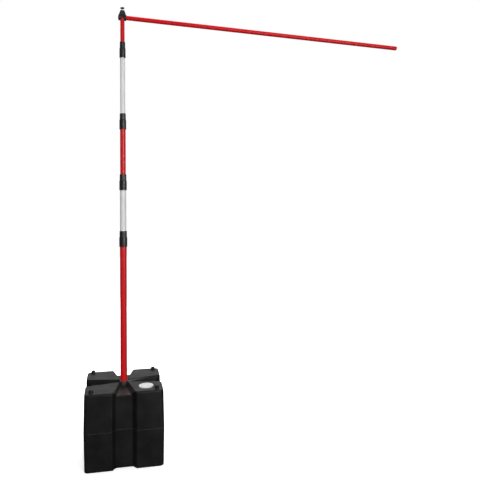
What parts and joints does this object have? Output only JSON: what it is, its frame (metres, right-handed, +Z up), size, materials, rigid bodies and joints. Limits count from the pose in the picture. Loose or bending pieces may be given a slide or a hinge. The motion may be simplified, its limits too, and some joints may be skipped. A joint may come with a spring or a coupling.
{
  "type": "ballasted training boom stand",
  "caption": "Free-standing telescopic mast in a ballast tank, with twist locks and a long swivelling boom to hang a training ball or target from.",
  "frame": {"origin": "on the floor, on the mast's axis, at the middle of the tank's flat bottom", "axes": "+Z up along the mast, +X to the boom's far end, -Y to the side with the filler on its right"},
  "size_m": [2.26, 0.5, 2.9845],
  "materials": {
    "tank_plastic": "rotationally moulded black polyethylene, satin",
    "water": "water fill, clear",
    "socket_plastic": "black moulded plastic",
    "white_plastic": "white moulded plastic",
    "seal_rubber": "soft rubber",
    "black_plastic": "black nylon",
    "lock_plastic": "black nylon, fine texture",
    "natural_nylon": "uncoloured nylon",
    "head_plastic": "black moulded nylon",
    "zinc_steel": "zinc plated",
    "red_paint": "red powder coat, semi-gloss",
    "white_paint": "white powder coat, semi-gloss",
    "red_plastic": "red moulded plastic"
  },
  "bodies": {
    "base": {"ballast_tank": "tank_plastic", "water_ballast": "water", "mast_socket": "socket_plastic", "filler_neck": "socket_plastic"},
    "filler_seal": {"filler_seal": "seal_rubber"},
    "filler_cap": {"filler_cap": "white_plastic"},
    "mast_1": {"mast_tube_1": "red_paint", "foot_plug": "black_plastic", "lock_sleeve_1": "lock_plastic", "lock_collet_1": "natural_nylon"},
    "mast_2": {"mast_tube_2": "white_paint", "guide_bush_2": "black_plastic", "lock_sleeve_2": "lock_plastic", "lock_collet_2": "natural_nylon"},
    "mast_3": {"mast_tube_3": "red_paint", "guide_bush_3": "black_plastic", "lock_sleeve_3": "lock_plastic", "lock_collet_3": "natural_nylon"},
    "mast_4": {"mast_tube_4": "white_paint", "guide_bush_4": "black_plastic", "lock_sleeve_4": "lock_plastic", "lock_collet_4": "natural_nylon"},
    "mast_5": {"mast_tube_5": "red_paint", "guide_bush_5": "black_plastic"},
    "lock_nut_1": {"lock_nut_1": "lock_plastic"},
    "lock_nut_2": {"lock_nut_2": "lock_plastic"},
    "lock_nut_3": {"lock_nut_3": "lock_plastic"},
    "lock_nut_4": {"lock_nut_4": "lock_plastic"},
    "boom": {"head_collar": "red_paint", "boom_saddle": "head_plastic", "clamp_dome": "head_plastic", "clamp_stud": "zinc_steel", "flat_washer": "zinc_steel", "boom_tube": "red_paint", "boom_plug_tip": "red_plastic", "boom_plug_tail": "red_plastic"},
    "wing_nut": {"nut_boss": "zinc_steel", "wing_nut": "black_plastic"}
  },
  "joints": [
    {"name": "filler_lift", "type": "slide", "parent": "base", "child": "filler_seal", "axis": [0, 0, 1], "range_m": [0, 0.12]},
    {"name": "filler_turn", "type": "hinge", "parent": "filler_seal", "child": "filler_cap", "pos_m": [0.14022, -0.14022, 0.484], "axis": [0, 0, 1], "range_deg": [0, 540]},
    {"name": "mast_lift", "type": "slide", "parent": "base", "child": "mast_1", "axis": [0, 0, 1], "range_m": [0, 0.325]},
    {"name": "tube_2_slide", "type": "slide", "parent": "mast_1", "child": "mast_2", "axis": [0, 0, 1], "range_m": [-0.272, 0.2]},
    {"name": "tube_3_slide", "type": "slide", "parent": "mast_2", "child": "mast_3", "axis": [0, 0, 1], "range_m": [-0.3, 0.172]},
    {"name": "tube_4_slide", "type": "slide", "parent": "mast_3", "child": "mast_4", "axis": [0, 0, 1], "range_m": [-0.373, 0.099]},
    {"name": "tube_5_slide", "type": "slide", "parent": "mast_4", "child": "mast_5", "axis": [0, 0, 1], "range_m": [-0.1415, 0.4054]},
    {"name": "lock_1_turn", "type": "hinge", "parent": "mast_1", "child": "lock_nut_1", "pos_m": [0, 0, 1.4645], "axis": [0, 0, 1], "range_deg": [0, 120]},
    {"name": "lock_2_turn", "type": "hinge", "parent": "mast_2", "child": "lock_nut_2", "pos_m": [0, 0, 1.8435], "axis": [0, 0, 1], "range_deg": [0, 120]},
    {"name": "lock_3_turn", "type": "hinge", "parent": "mast_3", "child": "lock_nut_3", "pos_m": [0, 0, 2.2505], "axis": [0, 0, 1], "range_deg": [0, 120]},
    {"name": "lock_4_turn", "type": "hinge", "parent": "mast_4", "child": "lock_nut_4", "pos_m": [0, 0, 2.7305], "axis": [0, 0, 1], "range_deg": [0, 120]},
    {"name": "boom_swivel", "type": "hinge", "parent": "mast_5", "child": "boom", "pos_m": [0, 0, 2.91575], "axis": [0, 0, 1], "continuous": true},
    {"name": "wing_nut_turn", "type": "hinge", "parent": "boom", "child": "wing_nut", "pos_m": [0, 0, 2.9635], "axis": [0, 0, 1], "range_deg": [0, 270]}
  ]
}
